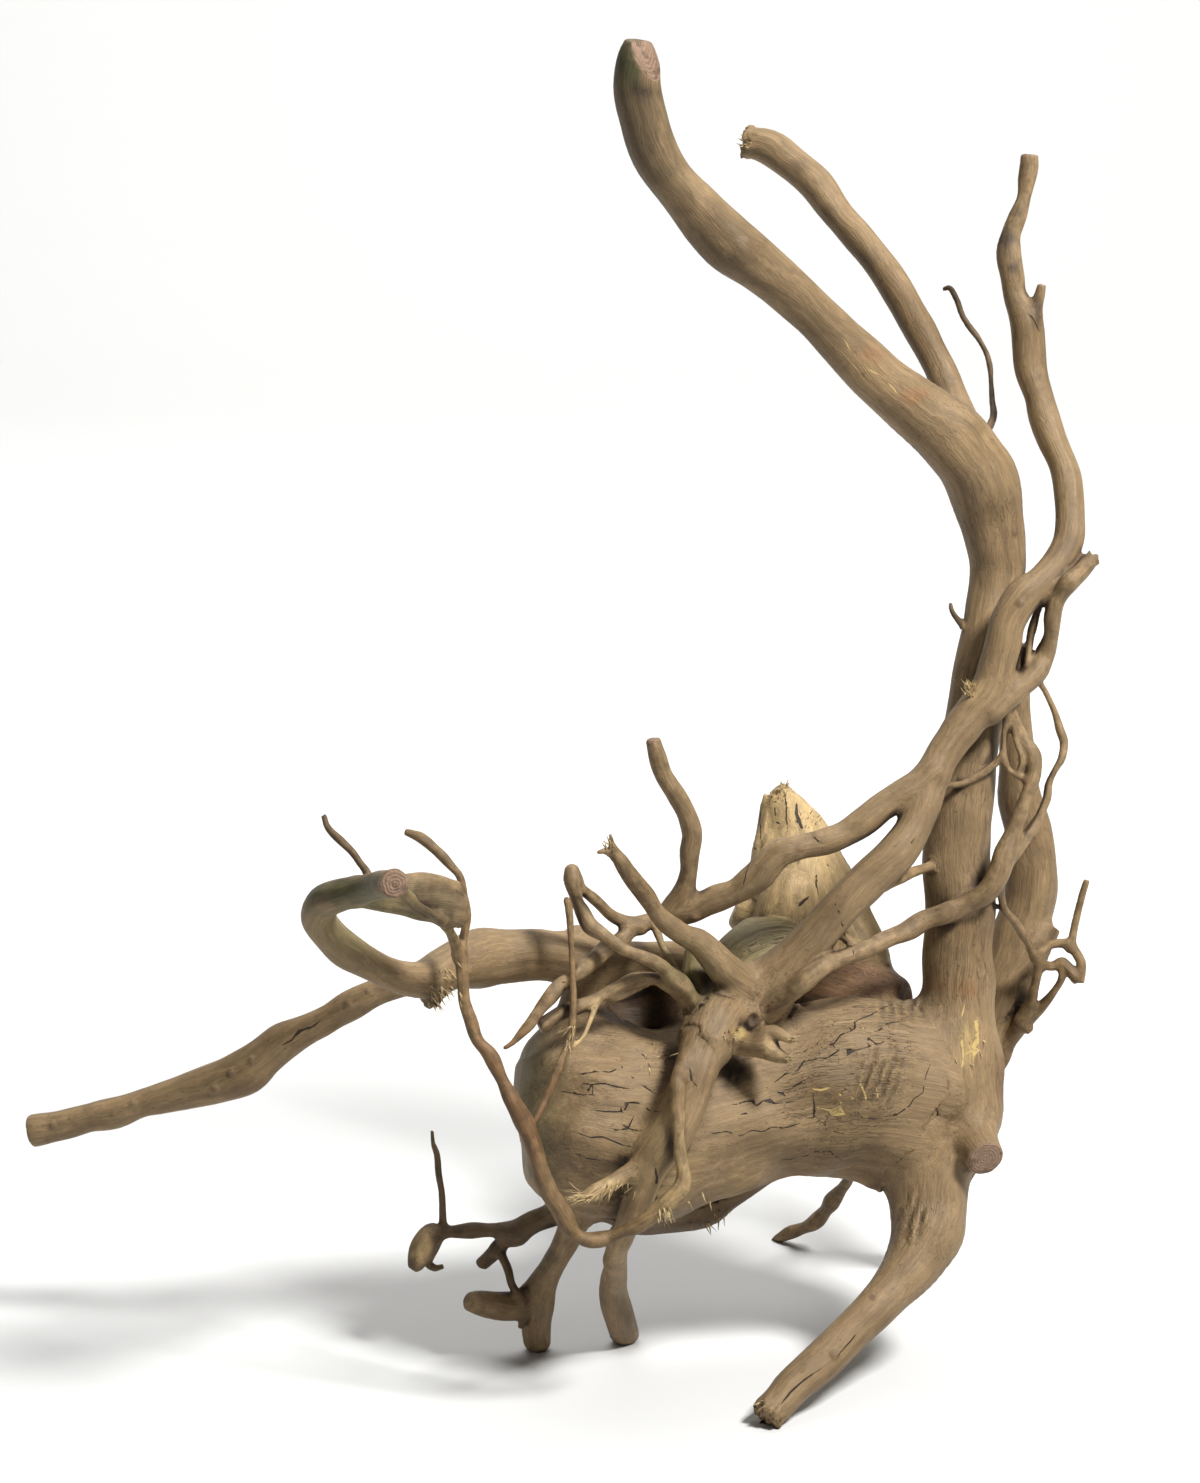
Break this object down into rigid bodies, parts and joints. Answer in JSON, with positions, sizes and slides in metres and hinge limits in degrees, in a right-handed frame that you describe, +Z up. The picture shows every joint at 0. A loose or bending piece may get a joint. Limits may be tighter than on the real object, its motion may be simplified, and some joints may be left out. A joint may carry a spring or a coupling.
{
  "type": "spiderwood root",
  "caption": "Branching dry root wood for a tank or display: a heavy log on splayed roots, with a tall bent trunk, a hooked side limb and a tangle of thin twigs.",
  "frame": {"origin": "on the floor, below the middle of the root's bounding box", "axes": "+Z up, the way the root stands; -Y towards the pictured front; +X towards the trunk side"},
  "size_m": [0.4299, 0.3179, 0.5214],
  "materials": {
    "wood": "satin"
  },
  "bodies": {
    "root": {"spiderwood_root": "wood"}
  },
  "joints": []
}
